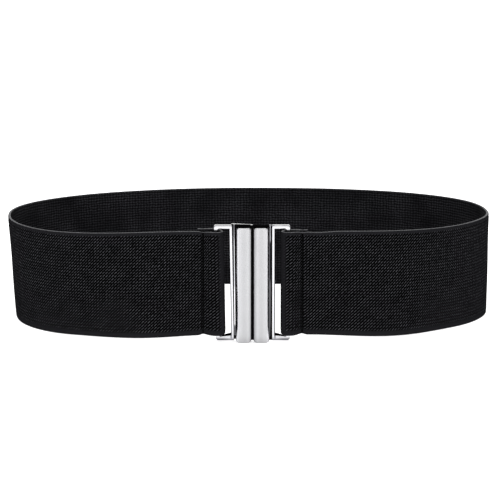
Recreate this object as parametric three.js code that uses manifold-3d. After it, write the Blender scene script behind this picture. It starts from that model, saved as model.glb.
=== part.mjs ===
// A wide elastic stretch belt, closed: one strip of webbing goes round the waist, and each end is folded round the
// slot frame of a two-part hook buckle. Millimetres, +Z up, the buckle faces -Y, and the belt stands on its lower edge.
import * as THREE from 'three';
import { mergeVertices } from 'three/addons/utils/BufferGeometryUtils.js';
import Module from 'manifold-3d';

// Webbing
const webbingWidth = 60;
const webbingThickness = 2;

// The loop seen from above, between the outer faces of the webbing at mid height
const loopWidth = 278;
const frontDepth = 73.6;
const backDepth = 75.2;
const straightRun = 30;
const buckleOffset = 1.3;
const leanLeft = 4.1;
const leanRight = 0.8;
const liftReach = 130;

// Exponent of each quarter of the loop: 2 is an ellipse, more is squarer, less is leaner
const quarterExponent = { frontLeft: 2.25, backLeft: 2.05, backRight: 2.3, frontRight: 1.8 };

// Folded ends
const seamSetback = 6.7;
const tailPastSeam = 3;
const layerGap = 0.4;
const seamPinch = 1.2;
const pinchReach = 5;

// Slot frames. The left one leans out by this share of the height above its middle.
const frameWidth = 10.2;
const frameLift = 1.6;
const wireWidth = 1.8;
const wireDepth = 3.4;
const slotPlayBelow = 0.6;
const slotPlayAbove = 1.6;
const frameCornerRadius = 2;
const frameLeanLeft = 0.016;
const clearance = 0.3;

// Bars, which are hollow at the top, and hooks
const barWidth = 8;
const barDepth = 4.2;
const barExponent = 6;
const barWall = 0.8;
const barDrop = 0.4;
const barEndHeight = 1.4;
const barRimHeight = 0.3;
const pocketDepth = 5;
const centreGap = 1.3;
const plateThickness = 1.2;
const plateLift = 1.2;
const plateRise = 0.6;
const tongueDrop = 0.6;
const hookReach = 1.2;
const lipThickness = 1.2;
const ribWidth = 0.9;
const ribRise = 1;
const ribGap = 0.6;
const weld = 0.2;

// What follows from the sizes above
const buckleLift = frameLift + wireWidth + slotPlayBelow;
const frameTop = buckleLift + webbingWidth + slotPlayAbove + wireWidth;
const frameMiddle = (frameLift + frameTop) / 2;
const barTop = frameTop - barDrop;
const barEdge = centreGap / 2 + barWidth;
const ribOuter = barEdge + ribWidth * 2;
const frameInner = ribOuter + ribGap;
const frameOuter = frameInner + frameWidth;
const tongueFront = barDepth + clearance;
const tongueBack = tongueFront + plateThickness;
const backPlateFront = tongueBack + hookReach + clearance;
const backPlateBack = backPlateFront + plateThickness;
const frameMidDepth = backPlateFront + clearance / 2 - wireDepth / 2;
const foldRadius = wireDepth / 2 + clearance + webbingThickness / 2;
const foldCentre = frameOuter - wireWidth + clearance;
const seamAt = frameOuter + seamSetback;
const tailEnd = seamAt + tailPastSeam;

// The origin is the middle of the belt's box at floor level
const centreX = (leanLeft - leanRight) / 4;
const barFront = -frontDepth + webbingThickness / 2 - frameMidDepth;
const centreY = (barFront + backDepth) / 2;
const buckleX = centreX + buckleOffset;
const buckleY = barFront - centreY;

const wasm = await Module();
wasm.setup();

// Rises from 0 to 1 with level ends.
function ease(share) {
  const t = Math.min(Math.max(share, 0), 1);
  return t * t * (3 - 2 * t);
}

function mix(a, b, share) {
  return a + (b - a) * share;
}

// Evenly spaced values from a to b, both included.
function steps(a, b, count) {
  return Array.from({ length: count + 1 }, (_, i) => mix(a, b, i / count));
}

// One folded end as seen from above, from the free end of the tail to the end of the straight stretch: u is the
// distance from the buckle's middle and v the depth behind the front of the bars.
function foldedEnd() {
  const tailSeat = frameMidDepth + webbingThickness + layerGap;
  const tail = steps(tailEnd, foldCentre, 8).slice(0, -1).map((u) => {
    const share = ease((u - foldCentre) / (seamAt - foldCentre));
    return [u, mix(frameMidDepth + foldRadius, tailSeat, share)];
  });
  const bend = steps(0, Math.PI, 12).map((angle) => [
    foldCentre - foldRadius * Math.sin(angle),
    frameMidDepth + foldRadius * Math.cos(angle),
  ]);
  const cover = frameOuter - clearance;
  const front = steps(cover, seamAt, 8).map((u) => {
    const share = ease((u - cover) / (seamAt - cover));
    return [u, mix(frameMidDepth - foldRadius, frameMidDepth, share)];
  });
  const straight = steps(seamAt, Math.max(straightRun, tailEnd), 2).slice(1).map((u) => [u, frameMidDepth]);
  return [...tail, ...bend, ...front, ...straight];
}

// A quarter of the loop from its front or back point to its widest point, as distances along X and Y.
function quarter(halfWidth, depth, power, count) {
  return steps(0, Math.PI / 2, count).map((angle) => [
    halfWidth * Math.sin(angle) ** (2 / power),
    depth * Math.max(Math.cos(angle), 0) ** (2 / power),
  ]);
}

// The webbing's centre line from the left tail round the back to the right tail.
function centreLine() {
  const inset = webbingThickness / 2;
  const half = loopWidth / 2 - inset;
  const front = frontDepth - inset;
  const back = backDepth - inset;
  const straight = Math.max(straightRun, tailEnd);
  const end = foldedEnd();
  const leftEnd = end.map(([u, v]) => [buckleX - u, buckleY + v]);
  const rightEnd = end.map(([u, v]) => [buckleX + u, buckleY + v]).reverse();
  const leftStart = buckleOffset - straight;
  const rightStart = buckleOffset + straight;
  const frontLeft = quarter(half + leftStart, front, quarterExponent.frontLeft, 26)
    .slice(1, -1).map(([x, y]) => [centreX + leftStart - x, -centreY - y]);
  const backLeft = quarter(half, back, quarterExponent.backLeft, 26)
    .slice(1).reverse().map(([x, y]) => [centreX - x, -centreY + y]);
  const backRight = quarter(half, back, quarterExponent.backRight, 26)
    .map(([x, y]) => [centreX + x, -centreY + y]);
  const frontRight = quarter(half - rightStart, front, quarterExponent.frontRight, 26)
    .slice(1, -1).reverse().map(([x, y]) => [centreX + rightStart + x, -centreY - y]);
  return [...leftEnd, ...frontLeft, ...backLeft, ...backRight, ...frontRight, ...rightEnd];
}

// Height of the webbing's lower edge: on the floor at the back and sides, carried by the buckle at the front.
function lowerEdge(x, y) {
  if (y > -centreY) return 0;
  const straight = Math.max(straightRun, tailEnd);
  return buckleLift * ease((liftReach - Math.abs(x - buckleX)) / (liftReach - straight));
}

// How much narrower the webbing is where the seam pulls it in.
function pinch(x, y) {
  if (y > -centreY) return 0;
  const away = Math.abs(Math.abs(x - buckleX) - seamAt) / pinchReach;
  return seamPinch * (1 - ease(away));
}

// How far the left folded end leans along X with its frame, at a height.
function leanWithFrame(x, y, height) {
  if (y > -centreY || x > buckleX) return 0;
  const held = ease((seamAt - (buckleX - x)) / (seamAt - frameOuter));
  return -frameLeanLeft * (height - frameMiddle) * held;
}

// The strip of webbing: a four-cornered section carried along the centre line.
function elasticBand() {
  const line = centreLine();
  const half = webbingThickness / 2;
  const positions = [];
  const index = [];
  line.forEach(([x, y], i) => {
    const [ax, ay] = line[Math.max(i - 1, 0)];
    const [bx, by] = line[Math.min(i + 1, line.length - 1)];
    const length = Math.hypot(bx - ax, by - ay);
    const nx = -(by - ay) / length;
    const ny = (bx - ax) / length;
    const side = Math.abs(x - centreX) / (loopWidth / 2);
    const lean = (x < centreX ? leanLeft : leanRight) / 2 * side ** 4;
    const low = lowerEdge(x, y) + pinch(x, y) / 2;
    const high = low + webbingWidth - pinch(x, y);
    for (const [offset, z] of [[half - lean, low], [half + lean, high], [lean - half, high], [-half - lean, low]]) {
      positions.push(x + nx * offset + leanWithFrame(x, y, z), y + ny * offset, z);
    }
  });
  for (let i = 0; i < line.length - 1; i += 1) {
    for (let k = 0; k < 4; k += 1) {
      const a = 4 * i + k;
      const b = 4 * i + (k + 1) % 4;
      index.push(a, b, a + 4, b, b + 4, a + 4);
    }
  }
  const last = 4 * (line.length - 1);
  index.push(0, 2, 1, 0, 3, 2, last, last + 1, last + 2, last, last + 2, last + 3);
  return meshGeometry(positions, index);
}

function meshGeometry(positions, index) {
  const geometry = new THREE.BufferGeometry();
  geometry.setAttribute('position', new THREE.Float32BufferAttribute(positions, 3));
  geometry.setIndex(index);
  geometry.computeVertexNormals();
  return geometry;
}

// A three.js geometry as a solid that can be joined.
function solid(geometry) {
  const bare = geometry.clone();
  bare.deleteAttribute('normal');
  bare.deleteAttribute('uv');
  const merged = mergeVertices(bare, 1e-5);
  return new wasm.Manifold(new wasm.Mesh({
    numProp: 3,
    vertProperties: Float32Array.from(merged.attributes.position.array),
    triVerts: Uint32Array.from(merged.index.array),
  }));
}

// All the geometries as one solid, less the pocket.
function joined(geometries, pocket) {
  const whole = geometries.map(solid).reduce((sum, piece) => sum.add(piece));
  const mesh = whole.subtract(solid(pocket)).getMesh();
  return meshGeometry(mesh.vertProperties, Array.from(mesh.triVerts));
}

// A block between two distances from the buckle's middle, two depths and two heights; side is -1 on the left half.
function block(side, [u0, u1], [v0, v1], [z0, z1]) {
  const geometry = new THREE.BoxGeometry(u1 - u0, v1 - v0, z1 - z0);
  geometry.translate(buckleX + side * (u0 + u1) / 2, buckleY + (v0 + v1) / 2, (z0 + z1) / 2);
  return geometry;
}

// The slot frame: a rectangle of wire whose outer corners are round and whose inner corners are square.
function slotFrame(side) {
  const turn = frameCornerRadius;
  const low = frameLift - frameMiddle;
  const top = frameTop - frameMiddle;
  const ring = new THREE.Shape();
  ring.moveTo(0, low);
  ring.lineTo(frameWidth - turn, low);
  ring.absarc(frameWidth - turn, low + turn, turn, -Math.PI / 2, 0);
  ring.lineTo(frameWidth, top - turn);
  ring.absarc(frameWidth - turn, top - turn, turn, 0, Math.PI / 2);
  ring.lineTo(0, top);
  ring.closePath();
  const slot = new THREE.Path();
  const inner = turn - wireWidth / 2;
  const right = frameWidth - wireWidth;
  const rim = top - wireWidth;
  const sill = low + wireWidth;
  slot.moveTo(wireWidth, sill);
  slot.lineTo(wireWidth, rim);
  slot.lineTo(right - inner, rim);
  slot.absarc(right - inner, rim - inner, inner, Math.PI / 2, 0, true);
  slot.lineTo(right, sill + inner);
  slot.absarc(right - inner, sill + inner, inner, 0, -Math.PI / 2, true);
  slot.closePath();
  ring.holes.push(slot);
  const geometry = new THREE.ExtrudeGeometry(ring, { depth: wireDepth, bevelEnabled: false, curveSegments: 5 });
  geometry.rotateX(Math.PI / 2);
  if (side < 0) {
    geometry.rotateZ(Math.PI);
    geometry.applyMatrix4(new THREE.Matrix4().makeShear(0, 0, 0, 0, -frameLeanLeft, 0));
  }
  const across = buckleX + side * frameInner;
  const behind = buckleY + frameMidDepth + side * wireDepth / 2;
  geometry.translate(across, behind, frameMiddle);
  return geometry;
}

// Rings with the same number of points, one above the other, closed at both ends.
function loft(rings) {
  const count = rings[0].length;
  const index = [];
  for (let r = 0; r < rings.length - 1; r += 1) {
    for (let k = 0; k < count; k += 1) {
      const a = r * count + k;
      const b = r * count + (k + 1) % count;
      index.push(a, b, a + count, b, b + count, a + count);
    }
  }
  const top = (rings.length - 1) * count;
  for (let k = 1; k < count - 1; k += 1) {
    index.push(0, k + 1, k);
    index.push(top, top + k, top + k + 1);
  }
  return meshGeometry(rings.flat(2), index);
}

// A bar's section at a height, flat at the back and round at the front, less a wall all round and then scaled.
function barRing(side, depth, height, wall, size) {
  const middle = buckleX + side * (centreGap + barWidth) / 2;
  return steps(0, Math.PI, 14).map((angle) => {
    const across = -Math.sign(Math.cos(angle)) * Math.abs(Math.cos(angle)) ** (2 / barExponent);
    const forward = Math.max(Math.sin(angle), 0) ** (2 / barExponent);
    return [
      middle + across * (barWidth / 2 - wall) * size,
      buckleY + depth - wall - forward * (depth - 2 * wall) * size,
      height,
    ];
  });
}

// An upright bar with a rounded foot and a softened rim.
function bar(side, depth) {
  const foot = [
    { rise: 0, size: 0.62 },
    { rise: 0.3, size: 0.87 },
    { rise: 1, size: 1 },
  ];
  return loft([
    ...foot.map(({ rise, size }) => barRing(side, depth, rise * barEndHeight, 0, size)),
    barRing(side, depth, barTop - barRimHeight, 0, 1),
    barRing(side, depth, barTop, 0, 0.95),
  ]);
}

// The hollow that opens at the top of a bar.
function pocket(side, depth) {
  return loft([barTop - pocketDepth, barTop + weld].map((height) => barRing(side, depth, height, barWall, 1)));
}

const plateHeights = [plateLift, frameTop + plateRise];
const tongueHeights = [plateLift, barTop - tongueDrop];
const ribHeights = [frameLift + wireWidth, frameTop + plateRise];

// Left half: its back plate reaches the buckle's middle behind everything and turns forward there into a lip.
function buckleHalfLeft() {
  const ribFront = backPlateFront - ribRise;
  return joined([
    slotFrame(-1),
    bar(-1, barDepth),
    block(-1, [0, frameInner + wireWidth], [backPlateFront, backPlateBack], plateHeights),
    block(-1, [0, lipThickness], [tongueBack + clearance, backPlateFront + weld], plateHeights),
    block(-1, [barEdge - lipThickness, barEdge - weld], [barDepth - weld, backPlateFront + weld], tongueHeights),
    block(-1, [ribOuter - ribWidth, ribOuter], [ribFront, backPlateFront + weld], ribHeights),
  ], pocket(-1, barDepth));
}

// Right half: its tongue plate passes behind the left bar and turns back into a lip that hooks the other one.
function buckleHalfRight() {
  const depth = tongueFront + weld;
  const lipNear = lipThickness + clearance;
  const lipFar = lipNear + lipThickness;
  const ribFront = tongueFront - ribRise;
  return joined([
    slotFrame(1),
    bar(1, depth),
    block(1, [-lipFar, frameInner + wireWidth], [tongueFront, tongueBack], tongueHeights),
    block(1, [-lipFar, -lipNear], [tongueBack - weld, tongueBack + hookReach], tongueHeights),
    block(1, [ribOuter - ribWidth, ribOuter], [ribFront, tongueBack], ribHeights),
  ], pocket(1, depth));
}

function piece(name, geometry, material) {
  const mesh = new THREE.Mesh(geometry, material);
  mesh.name = name;
  return mesh;
}

const webbing = () => new THREE.MeshStandardMaterial({ color: 0x1a1a1c, roughness: 0.9, metalness: 0 });
const polishedMetal = () => new THREE.MeshStandardMaterial({ color: 0xdcdce0, roughness: 0.12, metalness: 1 });

const belt = new THREE.Group();
belt.add(piece('elastic_band', elasticBand(), webbing()));
belt.add(piece('buckle_half_left', buckleHalfLeft(), polishedMetal()));
belt.add(piece('buckle_half_right', buckleHalfRight(), polishedMetal()));

export default belt;
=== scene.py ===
"""Elastic stretch belt, dressed as in the photograph.

One strip of black twill elastic webbing, folded round the two halves of a nickel hook buckle and sewn.
"""
import math

import bpy
import numpy as np
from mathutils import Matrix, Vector


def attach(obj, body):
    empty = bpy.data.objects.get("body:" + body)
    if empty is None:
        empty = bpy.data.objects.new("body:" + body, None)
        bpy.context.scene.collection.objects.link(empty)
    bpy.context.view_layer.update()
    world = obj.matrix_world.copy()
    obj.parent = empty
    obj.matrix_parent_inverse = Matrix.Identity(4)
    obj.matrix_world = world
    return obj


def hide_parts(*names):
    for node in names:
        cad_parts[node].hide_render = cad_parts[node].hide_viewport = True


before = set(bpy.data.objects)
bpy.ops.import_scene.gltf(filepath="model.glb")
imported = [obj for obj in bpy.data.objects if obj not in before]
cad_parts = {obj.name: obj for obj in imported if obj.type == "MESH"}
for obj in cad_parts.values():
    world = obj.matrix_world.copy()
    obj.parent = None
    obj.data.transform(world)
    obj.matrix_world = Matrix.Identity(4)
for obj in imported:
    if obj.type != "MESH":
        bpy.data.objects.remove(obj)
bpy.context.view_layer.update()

MM = 0.001

# Webbing, in millimetres
WEBBING_WIDTH = 60.0
WEBBING_THICKNESS = 2.0
EDGE_RADIUS = 0.8
SELVAGE = 2.4
SELVAGE_STEP = 0.12
SELVAGE_BLEND = 0.25
SELVAGE_ROWS = (1.2, 1.7)
SELVAGE_SHIFT = 0.7
BODY_ROWS = 26

# Its weave: the outer face's slanting floats repeat as measured in the photograph, both along and up the belt
TWILL_REPEAT = 1.75
CORD_REPEAT = 1.55
PICK_REPEAT = 1.75
RIM_LOOP_REPEAT = 0.9

# The loop seen from above, between the outer faces of the webbing
LOOP_WIDTH = 278.0
FRONT_DEPTH = 73.6
BACK_DEPTH = 75.2
STRAIGHT_RUN = 30.0
BUCKLE_OFFSET = 1.3
LEAN_LEFT = 4.1
LEAN_RIGHT = 0.8
LIFT_REACH = 130.0
RIGHT_END_FULLER = 0.7
QUARTER_EXPONENT = {"front_left": 2.32, "back_left": 2.05, "back_right": 2.3, "front_right": 1.8}
QUARTER_POINTS = 400

# Its soft forms: the lower edge's belly between seam and end, and slow waves that calm down near the buckle
BELLY = 6.0
BELLY_AT_LEFT = 60.0
BELLY_AT_RIGHT = 74.0
BELLY_HALF_WIDTH = 42.0
LONG_WAVE = 0.1
SHORT_WAVE = 0.06
WAVE_CALM = 60.0

# Folded ends
SEAM_SETBACK = 6.7
TAIL_PAST_SEAM = 3.0
LAYER_GAP = 0.4
SEAM_PINCH = 1.2
PINCH_REACH = 5.0
PINCH_REACH_OUT = 3.2
SEAM_DENT = 0.55
SEAM_DENT_HALF_WIDTH = 1.3
BEND_RISE = 0.9
BEND_RISE_FROM = 18.8
BEND_RISE_OVER = 3.0
TAIL_RISE_LEFT = 1.0
TAIL_RISE_RIGHT = 0.3
TAIL_BULK = 1.0
TAIL_EASE = 6.0
TOP_DIP_RIGHT = 0.7
TOP_DIP_AT = 36.0
TOP_DIP_HALF_WIDTH = 9.0
FREE_TOP_OVER = 2.4
FREE_TOP_SHARE = 0.55

# Stations along the strip: fine within the fold zone of each end, coarse between
FOLD_ZONE = 42.0
FINE_STEP = 0.42
COARSE_STATIONS = 330
NORMAL_REACH = 0.25
FOLD_POINTS = 60

# Seam stitches
STITCH_COUNT = 22
STITCH_REACH = 0.95
STITCH_MARGIN = 2.2
STITCH_BOW = 1.1
THREAD_RADIUS = 0.2

# Slot frames of the buckle
FRAME_WIDTH = 10.2
FRAME_LIFT = 1.1
WIRE_WIDTH = 1.8
LOWER_WIRE_WIDTH = 2.4
INNER_WIRE_WIDTH = 1.6
WIRE_DEPTH = 3.4
WIRE_EDGE = 0.45
SLOT_PLAY_BELOW = 0.5
SLOT_PLAY_ABOVE = 1.6
SLOT_FLOOR_FRONT_RISE = 0.65
SLOT_FLOOR_BACK_RISE = 1.55
SLOT_CORNER_INNER = 0.35
SLOT_CORNER_ABOVE = 1.7
SLOT_CORNER_BELOW = 1.1
FRAME_CORNER_ABOVE = 0.9
FRAME_CORNER_BELOW = 1.4
FRAME_SHIFT_RIGHT = -0.2
FRAME_LEAN_LEFT = 0.016
CLEARANCE = 0.3

# Bars
BAR_WIDTH = 8.1
BAR_DEPTH = 4.2
BAR_EXPONENT = 6.0
BAR_WALL = 0.8
BAR_DROP = 0.75
BAR_SPREAD_LEFT = 0.3
BAR_SPREAD_FROM = 20.0
BAR_SPREAD_OVER = 20.0
BAR_INNER_SPREAD_RIGHT = 0.3
BAR_FLARE = 0.8
BAR_FLARE_HEIGHT = 12.0
BAR_END_HEIGHT = 2.2
BAR_END_SIZE = 0.5
BAR_RINGS = (4.0, 6.0, 8.0, 10.0, 20.0, 25.0, 30.0, 35.0, 40.0)
BAR_CORNER = 1.1
BAR_CORNER_END = 0.98
BAR_RIM_TURN = 0.3
POCKET_DEPTH = 5.0
CENTRE_GAP = 1.3

# Plates, webs and ribs
PLATE_THICKNESS = 1.2
PLATE_LIFT = 1.2
PLATE_RISE = 0.45
PLATE_DROOP = 0.6
PLATE_DROOP_WIDTH = 3.4
PLATE_CORNER = 0.3
TONGUE_RISE = 0.1
WEB_DROP = 0.6
WEB_CORNER = 0.05
HOOK_REACH = 1.2
LIP_THICKNESS = 1.2
GROOVE_WIDTH = 1.7
RIB_WIDTH_LEFT = 0.75
RIB_WIDTH_RIGHT = 0.85
RIB_SHIFT_LEFT = 0.15
RIB_SHIFT_RIGHT = -0.3
RIB_LEAN_LEFT = 0.008
RIB_CORNER = 0.2
RIB_RISE = 1.0
RIB_GAP = 0.6
RIB_FLANK_SETBACK = 0.75
WELD = 0.2

# Where the frames carry painted shade, painted reflection and painted highlight
SIDE_SHADE_BELOW = (38.0, 28.0)
FOOT_SHADE = (2.4, 0.4)
HOOK_SHADE_REACH = 1.6
HOOK_SHADE_TOP = 1.9
HOOK_SHADE_FULL = 2.7
TOP_HIGHLIGHT_HEIGHTS = (0.3, 0.1)
TOP_HIGHLIGHT_BLEND = 0.6

# What follows from the sizes above
BUCKLE_LIFT = FRAME_LIFT + LOWER_WIRE_WIDTH + SLOT_PLAY_BELOW
FRAME_TOP = BUCKLE_LIFT + WEBBING_WIDTH + SLOT_PLAY_ABOVE + WIRE_WIDTH
FRAME_MIDDLE = (FRAME_LIFT + FRAME_TOP) / 2
BAR_TOP = FRAME_TOP - BAR_DROP
BAR_MIDDLE = (CENTRE_GAP + BAR_WIDTH) / 2
PLATE_HEIGHTS = (PLATE_LIFT, FRAME_TOP + PLATE_RISE)
TONGUE_HEIGHTS = (PLATE_LIFT, FRAME_TOP + TONGUE_RISE)
WEB_HEIGHTS = (PLATE_LIFT, BAR_TOP - WEB_DROP)
RIB_HEIGHTS = (FRAME_LIFT + LOWER_WIRE_WIDTH, FRAME_TOP + PLATE_RISE)
BAR_EDGE = CENTRE_GAP / 2 + BAR_WIDTH
RIB_OUTER = BAR_EDGE + GROOVE_WIDTH
FRAME_INNER = RIB_OUTER + RIB_GAP
FRAME_OUTER = FRAME_INNER + FRAME_WIDTH
SLOT_START = FRAME_INNER + INNER_WIRE_WIDTH
SLOT_END = FRAME_OUTER - WIRE_WIDTH
TONGUE_FRONT = BAR_DEPTH + CLEARANCE
TONGUE_BACK = TONGUE_FRONT + PLATE_THICKNESS
BACK_PLATE_FRONT = TONGUE_BACK + HOOK_REACH + CLEARANCE
BACK_PLATE_BACK = BACK_PLATE_FRONT + PLATE_THICKNESS
FRAME_MID_DEPTH = BACK_PLATE_FRONT + CLEARANCE / 2 - WIRE_DEPTH / 2
FRAME_FRONT = FRAME_MID_DEPTH - WIRE_DEPTH / 2
FOLD_RADIUS = WIRE_DEPTH / 2 + CLEARANCE + WEBBING_THICKNESS / 2
FOLD_CENTRE = SLOT_END + CLEARANCE
SEAM_AT = FRAME_OUTER + SEAM_SETBACK
TAIL_END = SEAM_AT + TAIL_PAST_SEAM
STRAIGHT = max(STRAIGHT_RUN, TAIL_END)
CENTRE_X = (LEAN_LEFT - LEAN_RIGHT) / 4
BAR_FRONT = -FRONT_DEPTH + WEBBING_THICKNESS / 2 - FRAME_MID_DEPTH
CENTRE_Y = (BAR_FRONT + BACK_DEPTH) / 2
BUCKLE_X = CENTRE_X + BUCKLE_OFFSET
BUCKLE_Y = BAR_FRONT - CENTRE_Y

# Radiance of the studio's parts; the floor comes out a little over white
PANEL_TILT = math.radians(6)
OVERHEAD_LIGHT = 1.6
FRONT_LIGHT = 2.4
WALL_LIGHT = 1.15
BACK_LIGHT = 1.3
AMBIENT_LIGHT = 0.05
FLOOR_GLOW = 0.62
FLOOR_HALF_WIDTH = 5.0

# The camera, solved from the photograph's edges
PHOTO_SIZE = 500
FOCAL_PIXELS = 3182
PIXELS_PER_MM = 1.706
ELEVATION = 12.25
AZIMUTH = -0.36
TARGET = (0.27 + CENTRE_X, -CENTRE_Y, 37.3)
SENSOR = 36.0
CLIP_RANGE = (0.05, 50)


def linear(hex_colour):
    """An sRGB hex colour as linear red, green, blue and alpha."""
    values = [int(hex_colour[i:i + 2], 16) / 255 for i in (1, 3, 5)]
    return tuple(v / 12.92 if v <= 0.04045 else ((v + 0.055) / 1.055) ** 2.4 for v in values) + (1.0,)


MODES = {"Math": "operation", "VectorMath": "operation", "MapRange": "interpolation_type", "Mix": "data_type"}


def node(tree, kind, *inputs, output=None, **named):
    """Adds a shader node and gives back an output: the one that is asked for, or else the first open one.

    After the kind may come the node's mode, as in "Math ADD". The inputs fill the open sockets in order. A
    named value is a property of the node, or else fills the socket of that name. Another node's output is
    linked.
    """
    kind, *mode = kind.split()
    made = tree.nodes.new("ShaderNode" + kind)
    if mode:
        setattr(made, MODES[kind], mode[0])
    filled = list(zip([socket for socket in made.inputs if socket.enabled], inputs))
    for key, value in named.items():
        if hasattr(made, key):
            setattr(made, key, value)
        else:
            filled.append((made.inputs[key.replace("_", " ")], value))
    for socket, value in filled:
        if isinstance(value, bpy.types.NodeSocket):
            tree.links.new(value, socket)
        else:
            socket.default_value = value
    if output:
        return made.outputs[output]
    return next((socket for socket in made.outputs if socket.enabled), None)


def product(tree, first, *others):
    """The values multiplied with one another."""
    for other in others:
        first = node(tree, "Math MULTIPLY", first, other)
    return first


def apart(tree, a, b):
    """The distance between two values: their difference without its sign."""
    return node(tree, "Math ABSOLUTE", node(tree, "Math SUBTRACT", a, b))


def between(tree, *steps):
    """A product of smooth steps, each (value, where it is 0, where it is 1)."""
    return product(tree, *[node(tree, "MapRange SMOOTHSTEP", *step) for step in steps])


def wave(tree, place, repeat, shift=0.0, swing=0.5, middle=0.5):
    """A sine along a place in millimetres: its repeat, its shift, how far it swings and round which value."""
    phase = node(tree, "Math MULTIPLY_ADD", place, 2 * math.pi / repeat, shift)
    return node(tree, "Math MULTIPLY_ADD", node(tree, "Math SINE", phase), swing, middle)


def ease(share):
    """Rises from 0 to 1 with level ends: three squares less two cubes."""
    t = np.clip(share, 0, 1)
    return t * t * (3 - 2 * t)


def arc_lengths(line):
    """The length run along a line up to each of its points."""
    return np.r_[0, np.cumsum(np.hypot(*np.diff(line, axis=0).T))]


def folded_end():
    """One folded end from above, from the tail's free end to the end of the straight stretch.

    Each point is (distance from the buckle's middle, depth behind the front of the bars). The tail and the
    cover ease between the fold's two sides and the run; between them lies a half circle round the frame's
    outer wire.
    """
    u = np.linspace(TAIL_END, FOLD_CENTRE, FOLD_POINTS)[:-1]
    share = ease((u - FOLD_CENTRE) / (SEAM_AT - FOLD_CENTRE))
    back = FRAME_MID_DEPTH + FOLD_RADIUS
    seat = FRAME_MID_DEPTH + WEBBING_THICKNESS + LAYER_GAP
    tail = np.c_[u, back + (seat - back) * share]
    angle = np.linspace(0, math.pi, FOLD_POINTS)
    bend = np.c_[FOLD_CENTRE - FOLD_RADIUS * np.sin(angle), FRAME_MID_DEPTH + FOLD_RADIUS * np.cos(angle)]
    cover = FRAME_OUTER - CLEARANCE
    u = np.linspace(cover, SEAM_AT, FOLD_POINTS)
    front = np.c_[u, FRAME_MID_DEPTH - FOLD_RADIUS * (1 - ease((u - cover) / (SEAM_AT - cover)))]
    u = np.linspace(SEAM_AT, STRAIGHT, 12)[1:]
    return np.concatenate([tail, bend, front, np.c_[u, np.full(len(u), FRAME_MID_DEPTH)]])


def quarter(corner, start, half_width, depth):
    """A superellipse quarter of the loop, from its front or back point to its widest: |x/a|^n + |y/b|^n = 1.

    The half width is negative to the left of the start, and the depth is negative towards the front.
    """
    power = QUARTER_EXPONENT[corner]
    angle = np.linspace(0, math.pi / 2, QUARTER_POINTS)
    across = half_width * np.sin(angle) ** (2 / power)
    along = depth * np.clip(np.cos(angle), 0, 1) ** (2 / power)
    return np.c_[CENTRE_X + start + across, along - CENTRE_Y]


def centre_line():
    """The webbing's centre line from the left tail round the back to the right tail, in plan."""
    inset = WEBBING_THICKNESS / 2
    half = LOOP_WIDTH / 2 - inset
    wide = half + RIGHT_END_FULLER
    front, back = FRONT_DEPTH - inset, BACK_DEPTH - inset
    left_start, right_start = BUCKLE_OFFSET - STRAIGHT, BUCKLE_OFFSET + STRAIGHT
    end = folded_end()
    return np.concatenate([
        np.c_[BUCKLE_X - end[:, 0], BUCKLE_Y + end[:, 1]],
        quarter("front_left", left_start, -(half + left_start), -front)[1:-1],
        quarter("back_left", 0, -half, back)[1:][::-1],
        quarter("back_right", 0, wide, back),
        quarter("front_right", right_start, wide - right_start, -front)[1:-1][::-1],
        np.c_[BUCKLE_X + end[:, 0], BUCKLE_Y + end[:, 1]][::-1],
    ])


def stations(line):
    """Places along the line, fine round the folds and coarser along the run, with unit outward normals."""
    run = arc_lengths(line)
    total = run[-1]
    fine = np.arange(0, FOLD_ZONE, FINE_STEP)
    coarse = np.linspace(FOLD_ZONE, total - FOLD_ZONE, COARSE_STATIONS)
    s = np.r_[fine, coarse, (total - fine)[::-1]]
    x, y = (np.interp(s, run, line[:, k]) for k in (0, 1))
    before_x, before_y = (np.interp(s - NORMAL_REACH, run, line[:, k]) for k in (0, 1))
    after_x, after_y = (np.interp(s + NORMAL_REACH, run, line[:, k]) for k in (0, 1))
    length = np.hypot(after_x - before_x, after_y - before_y)
    return s, x, y, -(after_y - before_y) / length, (after_x - before_x) / length


ALONG, PLAN_X, PLAN_Y, NORMAL_X, NORMAL_Y = stations(centre_line())
CUT_LENGTH = float(ALONG[-1])


def arc_to(layer, distance):
    """Arc length from the tail's end to where the folded end's front or back layer is at a distance."""
    end = folded_end()
    run = arc_lengths(end)
    turn = int(np.argmin(end[:, 0]))
    if layer == "back":
        return float(np.interp(-distance, -end[:turn, 0], run[:turn]))
    return float(np.interp(distance, end[turn:, 0], run[turn:]))


BEND_AT = arc_to("front", FOLD_CENTRE) - math.pi / 2 * FOLD_RADIUS
FRONT_SEAM_AT = arc_to("front", SEAM_AT)
TAIL_SEAM_AT = arc_to("back", SEAM_AT)


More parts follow.
